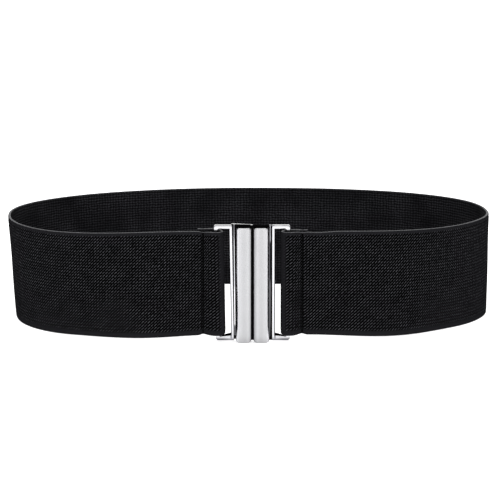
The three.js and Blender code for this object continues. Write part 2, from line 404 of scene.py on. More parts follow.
def strip_surface(s, height, offset):
    """Points of the webbing: arc length s, height above its lower edge and offset from its middle layer.

    Outward: the sides lean with the fourth power of the distance from the middle, the lower edge bulges in
    an eased belly, the seams press a shallow dent, slow waves keep the strip from being ruler straight, and
    the tails are thicker on their inner side. Upward: the strip is lifted near the buckle, drawn in at the
    seams by an eased pinch that spares the tails' upper edges and half of the right fold's, raised at the
    bends' lower edge and along the tails, and dipped by a bell curve at the upper edge beyond the right seam.
    The left end leans with its frame.
    """
    x, y = np.interp(s, ALONG, PLAN_X), np.interp(s, ALONG, PLAN_Y)
    normal_x, normal_y = np.interp(s, ALONG, NORMAL_X), np.interp(s, ALONG, NORMAL_Y)
    front, right = y < -CENTRE_Y, x > BUCKLE_X
    away = np.abs(x - BUCKLE_X)
    share = height / WEBBING_WIDTH
    tail = ease((BEND_AT - np.minimum(s, CUT_LENGTH - s)) / TAIL_EASE)
    seam = np.where(front, np.abs(away - SEAM_AT), LOOP_WIDTH)

    side = np.abs(x - CENTRE_X) / (LOOP_WIDTH / 2)
    lean = np.where(x < CENTRE_X, LEAN_LEFT, LEAN_RIGHT) * side ** 4 * (share - 0.5)
    dent = SEAM_DENT * np.exp(-(seam / SEAM_DENT_HALF_WIDTH) ** 2) * (offset > 0)
    wave = LONG_WAVE * np.sin(s / 17 + 1.3) * np.sin(height / 11 + s / 41)
    wave = wave + SHORT_WAVE * np.sin(s / 7.3 + height / 6)
    wave = wave * (1 - np.exp(-(away / WAVE_CALM) ** 2) * front)
    belly_at = np.where(right, BELLY_AT_RIGHT, BELLY_AT_LEFT)
    belly = BELLY * ease(1 - np.abs(away - belly_at) / BELLY_HALF_WIDTH) * front * (1 - share)
    out = offset * (1 + TAIL_BULK * tail * (offset > 0)) + lean - dent + wave + belly

    lift = BUCKLE_LIFT * ease((LIFT_REACH - away) / (LIFT_REACH - STRAIGHT)) * front
    pinch = SEAM_PINCH * (1 - ease(seam / np.where(away > SEAM_AT, PINCH_REACH_OUT, PINCH_REACH)))
    freed = FREE_TOP_SHARE * ease((SEAM_AT - away) / FREE_TOP_OVER) * front * right
    free_top = np.maximum(tail, freed)
    z = lift + pinch / 2 + share * (WEBBING_WIDTH - pinch * (1 - free_top / 2))
    z = z + BEND_RISE * (1 - share) * ease((BEND_RISE_FROM - away) / BEND_RISE_OVER) * front
    z = z + np.where(right, TAIL_RISE_RIGHT, TAIL_RISE_LEFT) * tail
    dip = np.exp(-((away - TOP_DIP_AT) / TOP_DIP_HALF_WIDTH) ** 2) * (1 - tail)
    z = z - TOP_DIP_RIGHT * share * dip * front * right

    held = ease((SEAM_AT - away) / (SEAM_AT - FRAME_OUTER)) * front * ~right
    x = x + normal_x * out - FRAME_LEAN_LEFT * (z - FRAME_MIDDLE) * held
    return np.stack([x, y + normal_y * out, z], axis=-1) * MM


def strip_section():
    """The webbing's own cross section as rows: height, offset, and which finish the row's face takes.

    It runs up the outer face, round the top edge, down the inner face and round the bottom edge. The
    selvages are a little thinner than the body between them. The finishes are 0 outer face, 1 inner face
    and 2 rim.
    """
    half = WEBBING_THICKNESS / 2
    thin = half - SELVAGE_STEP
    selvage = np.array([EDGE_RADIUS, *SELVAGE_ROWS, SELVAGE - SELVAGE_BLEND])
    body_start = SELVAGE + SELVAGE_BLEND
    body = np.linspace(body_start, WEBBING_WIDTH - body_start, BODY_ROWS)
    heights = np.r_[selvage, body, (WEBBING_WIDTH - selvage)[::-1]]
    offsets = np.r_[np.full(len(selvage), thin), np.full(len(body), half), np.full(len(selvage), thin)]
    angle = np.linspace(0, math.pi, 9)[1:-1]
    cap_height = WEBBING_WIDTH - EDGE_RADIUS + EDGE_RADIUS * np.sin(angle)
    cap_offset = thin * np.cos(angle)
    rows_height = np.r_[heights, cap_height, heights[::-1], WEBBING_WIDTH - cap_height[::-1]]
    rows_offset = np.r_[offsets, cap_offset, -offsets[::-1], cap_offset[::-1]]
    cap = np.array([0, 0, 2, 2, 2, 2, 1, 1])
    faces = len(heights) - 1
    rows_finish = np.r_[np.zeros(faces), cap, np.ones(faces), cap[::-1]].astype(int)
    return rows_height, rows_offset, rows_finish


def mesh_object(name, vertices, faces, materials, smooth_angle=None):
    """A mesh object at the origin from vertices in metres and lists of corner indices."""
    mesh = bpy.data.meshes.new(name)
    mesh.from_pydata(vertices, [], faces)
    for material in materials:
        mesh.materials.append(material)
    mesh.validate()
    mesh.shade_smooth()
    if smooth_angle is not None:
        mesh.set_sharp_from_angle(angle=math.radians(smooth_angle))
    made = bpy.data.objects.new(name, mesh)
    bpy.context.scene.collection.objects.link(made)
    return made


def grid_faces(rows, columns, closed_rows=False):
    """Quads of a grid whose columns close on themselves, and whose rows may, as corner indices."""
    i = np.arange(rows if closed_rows else rows - 1)[:, None]
    j = np.arange(columns)[None, :]
    here, above = i * columns, (i + 1) % rows * columns
    beside = (j + 1) % columns
    return np.stack([here + j, here + beside, above + beside, above + j], axis=-1).reshape(-1, 4)


def elastic_band(outer, inner, rim):
    """The strip as one closed mesh: its section carried along the centre line, with a cut face at each end.

    Its UV map holds the distance along the strip and the height across it, in metres.
    """
    heights, offsets, finish = strip_section()
    s, h, o = (np.ascontiguousarray(a) for a in np.broadcast_arrays(ALONG[:, None], heights, offsets))
    rows, columns = s.shape
    faces = grid_faces(rows, columns).tolist()
    ends = [list(range(columns)), list(range((rows - 1) * columns, rows * columns))[::-1]]
    points = strip_surface(s, h, o).reshape(-1, 3)
    band = mesh_object("webbing_strip", points, faces + ends, [outer, inner, rim], 50)
    mesh = band.data
    mesh.polygons.foreach_set("material_index", np.r_[np.tile(finish, rows - 1), [2, 2]].astype(np.int32))
    corner = np.empty(len(mesh.loops), dtype=np.int32)
    mesh.loops.foreach_get("vertex_index", corner)
    flat = np.stack([s.ravel(), h.ravel()], axis=-1)[corner] * MM
    mesh.uv_layers.new(name="weave").data.foreach_set("uv", flat.ravel())
    return band


def unit(vectors):
    """The vectors at length one."""
    return vectors / np.linalg.norm(vectors, axis=-1, keepdims=True)


def seam_threads(name, arc, material):
    """A row of stitches on the webbing's outer face at one arc length.

    Each is a bowed capsule: its middle line rises from the face as the root of a sine, and its ring of
    radii follows the surface's outward and sideways directions and shrinks towards both holes.
    """
    pitch = (WEBBING_WIDTH - 2 * STITCH_MARGIN) / STITCH_COUNT
    starts = STITCH_MARGIN + pitch * np.arange(STITCH_COUNT)
    t = np.linspace(0, 1, 9)
    angle = np.arange(8) * math.pi / 4
    heights = starts[:, None] + pitch * (0.5 + (t[None, :] - 0.5) * STITCH_REACH)
    bow = np.sin(math.pi * t)[None, :] ** 0.5 * STITCH_BOW - STITCH_BOW / 2
    offset = WEBBING_THICKNESS / 2 + bow * THREAD_RADIUS * 2
    s = np.full(heights.shape, arc)
    centre = strip_surface(s, heights, offset)
    out = unit(centre - strip_surface(s, heights, offset - 0.5))
    side = unit(strip_surface(s + 0.5, heights, offset) - centre)
    ring = np.cos(angle)[:, None] * out[:, :, None, :] + np.sin(angle)[:, None] * side[:, :, None, :]
    thick = THREAD_RADIUS * np.sin(math.pi * np.clip(t, 0.06, 0.94)) ** 0.35
    points = centre[:, :, None, :] + ring * thick[:, None, None] * MM
    per_stitch = len(t) * len(angle)
    quads = grid_faces(len(t), len(angle))
    first_end, last_end = np.arange(8)[::-1], np.arange(8) + per_stitch - 8
    faces = []
    for start in range(0, STITCH_COUNT * per_stitch, per_stitch):
        faces += (quads + start).tolist() + [(first_end + start).tolist(), (last_end + start).tolist()]
    return mesh_object(name, points.reshape(-1, 3), [face[::-1] for face in faces], [material])


def filleted(corners, radius, steps=5):
    """A closed outline whose corners are rounded: each corner becomes an arc tangent to its two sides."""
    corners = np.array(corners, dtype=float)
    out = []
    for i, p in enumerate(corners):
        a, b = corners[i - 1] - p, corners[(i + 1) % len(corners)] - p
        length_a, length_b = np.linalg.norm(a), np.linalg.norm(b)
        a, b = a / length_a, b / length_b
        half = math.acos(float(np.clip(a @ b, -1, 1))) / 2
        reach = min(radius / math.tan(half), 0.48 * length_a, 0.48 * length_b)
        r = reach * math.tan(half)
        bisector = (a + b) / np.linalg.norm(a + b)
        centre = p + bisector * r / math.sin(half)
        start = p + a * reach - centre
        end = p + b * reach - centre
        turn = math.acos(float(np.clip(start @ end / r ** 2, -1, 1)))
        sign = np.sign(start[0] * end[1] - start[1] * end[0])
        t = np.linspace(0, 1, steps + 1) * turn * sign
        cosine, sine = np.cos(t), np.sin(t)
        out.append(centre + np.c_[start[0] * cosine - start[1] * sine, start[0] * sine + start[1] * cosine])
    return np.concatenate(out)


def outward(outline):
    """Unit normals of a closed outline, pointing away from its inside."""
    step = np.roll(outline, -1, axis=0) - np.roll(outline, 1, axis=0)
    normal = np.c_[step[:, 1], -step[:, 0]]
    normal /= np.linalg.norm(normal, axis=1, keepdims=True) + 1e-12
    x, y = outline.T
    area = 0.5 * np.sum(x * np.roll(y, -1) - np.roll(x, -1) * y)
    return normal * np.sign(area)


def upright(outline, low, high, edge=0.2, steps=4):
    """An outline in plan carried upwards. Its end edges are rounded: it shrinks by a quarter circle there."""
    angle = np.linspace(0, math.pi / 2, steps + 1)
    inset = edge * (1 - np.sin(angle))
    rise = edge * (1 - np.cos(angle))
    inset, height = np.r_[inset, inset[::-1]], np.r_[low + rise, (high - rise)[::-1]]
    plan = outline[None] - outward(outline)[None] * inset[:, None, None]
    return np.concatenate([plan, np.repeat(height[:, None, None], len(outline), axis=1)], axis=2)


def bar_rings(depth, spread=0.0, inner_spread=0.0):
    """A hollow-topped bar as rings from its foot up the outside, over the rim and down into the pocket.

    Each ring is a superellipse front closed by a flat back. The foot shrinks as a quarter circle, the rim
    is two quarter circles, and a ring inside a wall is the same shape with the wall taken off all round.
    The outer side moves outward with an eased flare near the foot and an eased spread in the upper half,
    the inner side moves inward by its own spread, and the upper corners draw in as a quarter circle.
    """
    angle = np.linspace(0, math.pi, 49)
    across = -np.sign(np.cos(angle)) * np.abs(np.cos(angle)) ** (2 / BAR_EXPONENT)
    forward = np.clip(np.sin(angle), 0, 1) ** (2 / BAR_EXPONENT)
    t = np.linspace(0, math.pi / 2, 9)
    foot = [(BAR_END_HEIGHT * (1 - math.cos(a)), 0.0, BAR_END_SIZE + (1 - BAR_END_SIZE) * math.sin(a))
            for a in t]
    near_top = tuple(BAR_TOP - part * BAR_CORNER for part in (1, 0.8, 0.6, 0.4))
    shaft = [(height, 0.0, 1.0) for height in BAR_RINGS + near_top]
    turn = BAR_RIM_TURN
    t = np.linspace(0, math.pi / 2, 5)
    rim = [(BAR_TOP - turn * (1 - math.sin(a)), turn * (1 - math.cos(a)), 1.0) for a in t]
    lip = [(BAR_TOP - turn * (1 - math.cos(a)), BAR_WALL - turn * (1 - math.sin(a)), 1.0) for a in t]
    floor_of_pocket = [(BAR_TOP - POCKET_DEPTH, BAR_WALL, 1.0)]
    rings = []
    for height, wall, size in foot + shaft + rim + lip + floor_of_pocket:
        flare = BAR_FLARE * (1 - ease(height / BAR_FLARE_HEIGHT))
        moved = flare + spread * ease((height - BAR_SPREAD_FROM) / BAR_SPREAD_OVER)
        into_corner = max(0.0, (height - BAR_TOP) / BAR_CORNER + BAR_CORNER_END)
        corner = BAR_CORNER * (1 - math.sqrt(1 - into_corner ** 2))
        u = across * ((BAR_WIDTH / 2 - wall) * size - corner)
        u = u + moved * (across + 1) / 2 - inner_spread * (1 - across) / 2
        v = depth - wall - forward * (depth - 2 * wall) * size
        rings.append(np.c_[u, v, np.full(len(u), height)])
    return np.array(rings)


def rounded_rectangle(low, high, radii, steps=8):
    """A closed rectangle with its own corner radius at (low x, low y), (high x, low y) and on round."""
    (x0, y0), (x1, y1) = low, high
    corners = [((x0, y0), 180), ((x1, y0), 270), ((x1, y1), 0), ((x0, y1), 90)]
    out = []
    for ((x, y), start), r in zip(corners, radii):
        cx, cy = x + r * (1 if x == x0 else -1), y + r * (1 if y == y0 else -1)
        angle = np.radians(start + np.linspace(0, 90, steps + 1))
        out.append(np.c_[cx + r * np.cos(angle), cy + r * np.sin(angle)])
    return np.concatenate(out)


def slot_frame(lean=0.0):
    """The slot frame as rings: a wire section with rounded edges between an outer and an inner rectangle.

    Both rectangles have rounder corners at the end that holds the webbing. The lean shifts each point
    outward by its share of the height above the frame's middle. The slot's floor rises towards the bars and
    towards the back.
    """
    outer = rounded_rectangle((0, FRAME_LIFT), (FRAME_WIDTH, FRAME_TOP),
                              (WIRE_EDGE, FRAME_CORNER_BELOW, FRAME_CORNER_ABOVE, WIRE_EDGE))
    inner = rounded_rectangle((INNER_WIRE_WIDTH, FRAME_LIFT + LOWER_WIRE_WIDTH),
                              (FRAME_WIDTH - WIRE_WIDTH, FRAME_TOP - WIRE_WIDTH),
                              (SLOT_CORNER_INNER, SLOT_CORNER_BELOW, SLOT_CORNER_ABOVE, SLOT_CORNER_INNER))
    section = rounded_rectangle((0, 0), (WIRE_WIDTH, WIRE_DEPTH), (WIRE_EDGE,) * 4, 5)
    across, depth = section[:, 0] / WIRE_WIDTH, section[:, 1]
    u = outer[:, None, 0] + (inner[:, None, 0] - outer[:, None, 0]) * across[None]
    z = outer[:, None, 1] + (inner[:, None, 1] - outer[:, None, 1]) * across[None]
    v = np.repeat(depth[None], len(outer), axis=0)
    first_corner = (np.arange(len(outer)) < len(outer) // 4)[:, None]
    rise = SLOT_FLOOR_FRONT_RISE + (SLOT_FLOOR_BACK_RISE - SLOT_FLOOR_FRONT_RISE) * v / WIRE_DEPTH
    z = z + first_corner * across[None] * rise
    return np.stack([u + FRAME_INNER + lean * (z - FRAME_MIDDLE), v + FRAME_FRONT, z], axis=-1)


def rib(width, front, back, lean=0.0):
    """A rib between two depths with rounded edges, which leans outward with the height above the middle."""
    inner = RIB_OUTER - width
    plan = filleted([(inner, front), (RIB_OUTER, front), (RIB_OUTER, back), (inner, back)], RIB_CORNER)
    rings = upright(plan, *RIB_HEIGHTS)
    rings[..., 0] += lean * (rings[..., 2] - FRAME_MIDDLE)
    return rings


def drooped(rings):
    """The plate's rings with the top edge eased down towards the buckle's middle."""
    near = ease((PLATE_DROOP_WIDTH - rings[..., 0]) / PLATE_DROOP_WIDTH)
    rings[..., 2] -= PLATE_DROOP * near * (rings[..., 2] > FRAME_MIDDLE)
    return rings


def turned_right_way_out(mesh):
    """Flips the mesh when the volume that its faces enclose comes out negative."""
    mesh.calc_loop_triangles()
    corner = np.empty(3 * len(mesh.loop_triangles), dtype=np.int32)
    mesh.loop_triangles.foreach_get("vertices", corner)
    points = np.empty(3 * len(mesh.vertices))
    mesh.vertices.foreach_get("co", points)
    a, b, c = np.swapaxes(points.reshape(-1, 3)[corner.reshape(-1, 3)], 0, 1)
    if np.einsum("ij,ij->", a, np.cross(b, c)) < 0:
        mesh.flip_normals()


def shell(name, rings, side, shift_u=0.0, closed=False):
    """Rings in buckle measures (distance out, depth, height) as a closed mesh in the row frame."""
    rows, columns = rings.shape[:2]
    points = rings.reshape(-1, 3).copy()
    points[:, 0] = BUCKLE_X + side * (points[:, 0] + shift_u)
    points[:, 1] += BUCKLE_Y
    faces = grid_faces(rows, columns, closed).tolist()
    if not closed:
        faces.append(list(range(columns))[::-1])
        faces.append(list(range((rows - 1) * columns, rows * columns)))
    made = mesh_object(name, points * MM, faces, [])
    turned_right_way_out(made.data)
    return made


def face_finishes(mesh, side):
    """Each face's finish by where it lies: 0 bright frame, 1 satin bar, 2 recess in painted shade, 3 edge in
    painted shade, 4 groove.

    The recesses, painted near black as shade, are the pockets in the bars, the plates' front faces deep
    between the parts, the hook's lip, the tongue's hidden top and the slots' floors. The edges painted darker
    as shade are the frames' rounded ones that face the slot from its inner side, those at top and foot, and
    the foot's outer corner.
    """
    count = len(mesh.polygons)
    centre, normal = np.empty(3 * count), np.empty(3 * count)
    mesh.polygons.foreach_get("center", centre)
    mesh.polygons.foreach_get("normal", normal)
    centre, normal = centre.reshape(-1, 3) / MM, normal.reshape(-1, 3)
    u, v, z = side * (centre[:, 0] - BUCKLE_X), centre[:, 1] - BUCKLE_Y, centre[:, 2]
    sideways, facing, upward = side * normal[:, 0], normal[:, 1], normal[:, 2]
    left = side < 0
    bar_depth = BAR_DEPTH if left else TONGUE_FRONT + WELD
    plate_front = BACK_PLATE_FRONT if left else TONGUE_FRONT
    slack = 0.01

    bar = (u > CENTRE_GAP / 2 - BAR_INNER_SPREAD_RIGHT - slack) & (u < BAR_EDGE + slack)
    bar &= v < bar_depth + slack
    in_wall = BAR_WALL - 2 * slack
    hollow = (np.abs(u - BAR_MIDDLE) < BAR_WIDTH / 2 - in_wall) & (v > in_wall) & (v < bar_depth - in_wall)
    hollow &= (z > BAR_TOP - POCKET_DEPTH - slack) & (z < BAR_TOP - 2 * slack)
    open_top = bar & (z > BAR_TOP - 0.35) & (v > BAR_WALL / 2)
    deep = (facing < -0.8) & (np.abs(v - plate_front) < 0.1)
    lip = (u < LIP_THICKNESS + 0.15) & (v > BAR_DEPTH) & (v < BACK_PLATE_FRONT - 0.05)
    tongue_top = (not left) & (u < BAR_EDGE) & (z > BAR_TOP - 0.5) & (v > BAR_DEPTH)
    frame_face = (u > FRAME_INNER - RIB_GAP) & (v < FRAME_FRONT + WIRE_DEPTH + 0.05)
    slot_floor = frame_face & (upward > 0.5) & (z < BUCKLE_LIFT + SLOT_FLOOR_BACK_RISE)
    # painted shade: the recesses are made near black
    dark = hollow | deep | open_top | lip | tongue_top | slot_floor

    # painted shade: the darker rounded frame edges
    rounded = frame_face & (facing < -0.2) & (facing > -0.95)
    edge = rounded & (sideways > 0.3) & (u < FRAME_INNER + 3)
    edge |= rounded & (np.abs(upward) > 0.3) & ((z > FRAME_TOP - 0.7) | (z < FRAME_LIFT + 0.7))
    edge |= rounded & (sideways > 0.2) & (u > FRAME_OUTER - 2.2) & (z < FRAME_LIFT + 2.6)
    groove_end = FRAME_INNER - (0.1 if left else 0.4)
    groove = (u > BAR_EDGE + 0.5) & (u < groove_end) & (facing < 0.3) & ~deep & ~frame_face & ~bar
    return np.select([dark, edge, groove, bar], [2, 3, 4, 1], 0).astype(np.int32)


def fused(name, parts, side, materials):
    """The parts joined into one solid by boolean unions, with each face's finish chosen by where it lies."""
    base = parts[0]
    for part in parts[1:]:
        join = base.modifiers.new("join", "BOOLEAN")
        join.operation = "UNION"
        join.solver = "MANIFOLD"
        join.object = part
    bpy.context.view_layer.update()
    mesh = bpy.data.meshes.new_from_object(base.evaluated_get(bpy.context.evaluated_depsgraph_get()))
    for part in parts:
        bpy.data.objects.remove(part, do_unlink=True)
    mesh.name = name
    mesh.materials.clear()
    for material in materials:
        mesh.materials.append(material)
    mesh.polygons.foreach_set("material_index", face_finishes(mesh, side))
    mesh.shade_smooth()
    mesh.set_sharp_from_angle(angle=math.radians(38))
    made = bpy.data.objects.new(name, mesh)
    bpy.context.scene.collection.objects.link(made)
    return made


def buckle_half_left(materials):
    """Left casting: slot frame, bar, and a back plate whose free edge turns forward into the hook's lip."""
    wire_back = FRAME_INNER + WIRE_WIDTH / 2
    lip_front = TONGUE_BACK + CLEARANCE
    plate = [(0, lip_front), (LIP_THICKNESS, lip_front), (LIP_THICKNESS, BACK_PLATE_FRONT),
             (wire_back, BACK_PLATE_FRONT), (wire_back, BACK_PLATE_BACK), (0, BACK_PLATE_BACK)]
    web_back = BACK_PLATE_FRONT + WELD
    web = [(BAR_EDGE - LIP_THICKNESS, BAR_DEPTH - WELD), (BAR_EDGE - WELD, BAR_DEPTH - WELD),
           (BAR_EDGE - WELD, web_back), (BAR_EDGE - LIP_THICKNESS, web_back)]
    ridge = rib(RIB_WIDTH_LEFT, BACK_PLATE_FRONT - RIB_RISE, BACK_PLATE_FRONT + WELD, RIB_LEAN_LEFT)
    parts = [
        shell("left_plate", drooped(upright(filleted(plate, PLATE_CORNER), *PLATE_HEIGHTS)), -1),
        shell("left_web", upright(filleted(web, WEB_CORNER), *WEB_HEIGHTS), -1),
        shell("left_rib", ridge, -1, RIB_SHIFT_LEFT),
        shell("left_bar", bar_rings(BAR_DEPTH, BAR_SPREAD_LEFT), -1, BAR_MIDDLE),
        shell("left_frame", slot_frame(FRAME_LEAN_LEFT), -1, closed=True),
    ]
    return fused("nickel_buckle_left", parts, -1, materials)


def buckle_half_right(materials):
    """Right casting: slot frame, bar, and a tongue plate whose free edge turns back into the hook's lip."""
    near = -(LIP_THICKNESS + CLEARANCE)
    far = near - LIP_THICKNESS
    wire_back = FRAME_INNER + WIRE_WIDTH - WELD
    lip_back = TONGUE_BACK + HOOK_REACH
    plate = [(far, TONGUE_FRONT), (wire_back, TONGUE_FRONT), (wire_back, TONGUE_BACK), (near, TONGUE_BACK),
             (near, lip_back), (far, lip_back)]
    ridge = rib(RIB_WIDTH_RIGHT, TONGUE_FRONT - RIB_RISE, TONGUE_BACK - WELD / 2)
    bar = bar_rings(TONGUE_FRONT + WELD, inner_spread=BAR_INNER_SPREAD_RIGHT)
    parts = [
        shell("right_plate", upright(filleted(plate, PLATE_CORNER), *TONGUE_HEIGHTS), 1),
        shell("right_rib", ridge, 1, RIB_SHIFT_RIGHT),
        shell("right_bar", bar, 1, BAR_MIDDLE),
        shell("right_frame", slot_frame(), 1, FRAME_SHIFT_RIGHT, closed=True),
    ]
    return fused("nickel_buckle_right", parts, 1, materials)


def new_material(name):
    """A material with an empty tree."""
    material = bpy.data.materials.new(name)
    material.use_nodes = True
    material.node_tree.nodes.clear()
    return material, material.node_tree


def finished(tree, **sockets):
    """Closes a material's tree: the shader with its sockets filled, and the output."""
    node(tree, "OutputMaterial", Surface=node(tree, "BsdfPrincipled", **sockets))


def webbing_place(tree):
    """Place on the strip in millimetres, then the distance along the strip and the height across it."""
    place = node(tree, "VectorMath SCALE", node(tree, "UVMap", uv_map="weave"), 1 / MM)
    parts = node(tree, "SeparateXYZ", place).node.outputs
    return place, parts[0], parts[1]


def twill_webbing():
    """Nylon covered elastic webbing, woven as a twill: matt black, with a painted highlight on its fine
    slanting floats.

    The floats are ridges of a sine along the slant, shortened by rows and crossings. Their painted highlight
    is a high power of the relief, broken up by two noises. The selvages are calm, the bends lose the painted
    highlight as painted shade where they turn away from the light, the seams are darker, and the highlight's
    contrast fades towards the ends of the loop, where the weave turns away.
    """
    material, tree = new_material("black_nylon_twill_elastic")
    place, along, across = webbing_place(tree)
    wobble = node(tree, "TexNoise", noise_dimensions="2D", Vector=place, Scale=0.25, Detail=2.0)
    shift = node(tree, "Math MULTIPLY_ADD", wobble, 2.4, -1.2)
    ridge = wave(tree, node(tree, "Math ADD", along, across), TWILL_REPEAT, shift)
    rows = wave(tree, across, TWILL_REPEAT, shift, 0.13, 0.87)
    crossing = wave(tree, node(tree, "Math SUBTRACT", along, across), TWILL_REPEAT, 0.0, 0.07, 0.93)
    woven = product(tree, ridge, rows, crossing)

    selvage_at = WEBBING_WIDTH / 2 - SELVAGE
    from_middle = apart(tree, across, WEBBING_WIDTH / 2 + SELVAGE_SHIFT)
    body = between(tree, (from_middle, selvage_at + 0.3, selvage_at - 0.5))
    from_end = node(tree, "Math MINIMUM", along, node(tree, "Math SUBTRACT", CUT_LENGTH, along))
    bend = between(tree, (apart(tree, from_end, BEND_AT), 2.6, 4.8))
    seam = between(tree, (apart(tree, from_end, FRONT_SEAM_AT), 0.2, 0.9))
    fading = node(tree, "MapRange", from_end, 95.0, 165.0, 1.0, 0.72)
    contrast = product(tree, body, bend, fading)

    patch = node(tree, "TexNoise", noise_dimensions="2D", Vector=place, Scale=0.12, Detail=5.0)
    speckle = node(tree, "TexNoise", noise_dimensions="2D", Vector=place, Scale=0.6, Detail=1.0)
    cloud = node(tree, "Math MULTIPLY_ADD", patch, 0.5, 0.25)
    # painted highlight on the floats
    tone = product(tree, node(tree, "Math POWER", woven, 7.0), cloud, speckle, 6.2)
    floats = node(tree, "Mix RGBA", tone, linear("#010101"), linear("#505054"))
    # painted shade: the bends lose the highlight
    calm = node(tree, "Mix RGBA", contrast, linear("#18181a"), floats)
    colour = node(tree, "Mix RGBA", seam, linear("#020202"), calm)
    height = node(tree, "Math MULTIPLY_ADD", speckle, 0.25, product(tree, woven, contrast))
    bump = node(tree, "Bump", Strength=0.7, Distance=0.25 * MM, Height=height)
    finished(tree, Base_Color=colour, Normal=bump, Roughness=0.65, IOR=1.5, Specular_IOR_Level=0.0)
    return material


def ribbed_webbing():
    """The same webbing's inner face: covered rubber cords lie side by side, crossed by close weft picks.

    Both are sines that share a wandering shift, so the eye sees a fine, slightly uneven grid of pale dots.
    """
    material, tree = new_material("black_nylon_ribbed_elastic")
    place, along, across = webbing_place(tree)
    wobble = node(tree, "TexNoise", noise_dimensions="2D", Vector=place, Scale=0.3, Detail=2.0)
    shift = node(tree, "Math MULTIPLY_ADD", wobble, 5.0, -2.5)
    cord = wave(tree, across, CORD_REPEAT, shift)
    pick = wave(tree, along, PICK_REPEAT, shift)
    relief = node(tree, "Math MULTIPLY_ADD", cord, 0.6, product(tree, pick, 0.4))
    patch = node(tree, "TexNoise", noise_dimensions="2D", Vector=place, Scale=0.06, Detail=3.0)
    tone = product(tree, node(tree, "Math POWER", relief, 2.0), patch)
    colour = node(tree, "Mix RGBA", tone, linear("#040405"), linear("#343437"))
    bump = node(tree, "Bump", Strength=0.6, Distance=0.2 * MM, Height=relief)
    finished(tree, Base_Color=colour, Normal=bump, Roughness=0.7, IOR=1.5, Specular_IOR_Level=0.02)
    return material


def rim_with_painted_highlight():
    """The turned edge of the webbing, where the weft doubles back in tight loops, painted light as a
    highlight.
    """
    material, tree = new_material("nylon_rim_painted_highlight")
    place, along = webbing_place(tree)[:2]
    loops = wave(tree, along, RIM_LOOP_REPEAT)
    patch = node(tree, "TexNoise", noise_dimensions="2D", Vector=place, Scale=0.25, Detail=2.0)
    colour = node(tree, "Mix RGBA", product(tree, loops, patch), linear("#1a1a1c"), linear("#6e6e72"))
    bump = node(tree, "Bump", Strength=0.5, Distance=0.12 * MM, Height=loops)
    finished(tree, Base_Color=colour, Normal=bump, Roughness=0.5, IOR=1.5)
    return material


def spun_thread():
    """Black spun polyester sewing thread: matt with a faint twist."""
    material, tree = new_material("black_spun_polyester_thread")
    place = node(tree, "TexCoord", output="Object")
    twist = node(tree, "TexWave", bands_direction="DIAGONAL", output="Fac",
                 Vector=place, Scale=900.0, Distortion=1.0)
    colour = node(tree, "Mix RGBA", twist, linear("#030303"), linear("#0c0c0e"))
    bump = node(tree, "Bump", Strength=0.5, Distance=0.05 * MM, Height=twist)
    finished(tree, Base_Color=colour, Normal=bump, Roughness=0.6, IOR=1.5, Specular_IOR_Level=0.05)
    return material


def plated(name, dark, light, smooth, rough, grazing=1.0, shade=None):
    """Nickel plate between two tones and two roughnesses, with a faint unevenness under the mirror.

    A grazing tone under 1 keeps it dark where it is seen nearly edge on. A shade is a function that turns the
    even tone into the final one.
    """
    material, tree = new_material(name)
    place = node(tree, "TexCoord", output="Object")
    swell = node(tree, "TexNoise", Vector=place, Scale=160.0, Detail=1.0)
    marks = node(tree, "TexNoise", Vector=place, Scale=2400.0, Detail=2.0)
    finish = node(tree, "MapRange", marks, 0.3, 0.7, smooth, rough)
    tone = node(tree, "Mix RGBA", swell, linear(dark), linear(light))
    if shade:
        tone = shade(tree, tone)
    bump = node(tree, "Bump", Strength=0.25, Distance=0.02 * MM, Height=swell)
    finished(tree, Base_Color=tone, Roughness=finish, Normal=bump, Metallic=1.0,
             Specular_Tint=(grazing, grazing, grazing, 1.0))
    return material


def place_in_millimetres(tree):
    """The object's coordinates x, y and z in millimetres."""
    scaled = node(tree, "VectorMath SCALE", node(tree, "TexCoord", output="Object"), 1 / MM)
    return node(tree, "SeparateXYZ", scaled).node.outputs


def bar_painted_shading(tree, tone):
    """The bars' painted shading: a painted highlight at the outer edges, painted shade beside the gap, in the
    middle and at the foot.
    """
    place = place_in_millimetres(tree)
    away = apart(tree, place[0], BUCKLE_X)
    gap_at = CENTRE_GAP / 2
    # painted shade beside the gap and painted highlight at the outer edges
    gap = node(tree, "MapRange SMOOTHSTEP", away, gap_at + 0.1, gap_at + 2.2, 0.45, 1.0)
    edge = node(tree, "MapRange SMOOTHSTEP", away, BAR_EDGE - 1.1, BAR_EDGE - 0.4, 0.0, 0.8)
    shaded_by_gap = node(tree, "Mix RGBA", gap, linear("#66666a"), tone)
    brighter = node(tree, "Mix RGBA", edge, shaded_by_gap, linear("#cacace"))
    # painted shade: a little by height, at the foot and in the middle of each bar
    upper = node(tree, "MapRange SMOOTHSTEP", place[2], 49.0, 69.0, 0.94, 0.955)
    foot = node(tree, "MapRange SMOOTHSTEP", place[2], 0.5, 5.0, 0.8, 1.0)
    valley = node(tree, "MapRange SMOOTHSTEP", apart(tree, away, BAR_MIDDLE), 0.0, 2.8, 0.9, 1.015)
    return node(tree, "VectorMath SCALE", brighter, product(tree, upper, foot, valley))


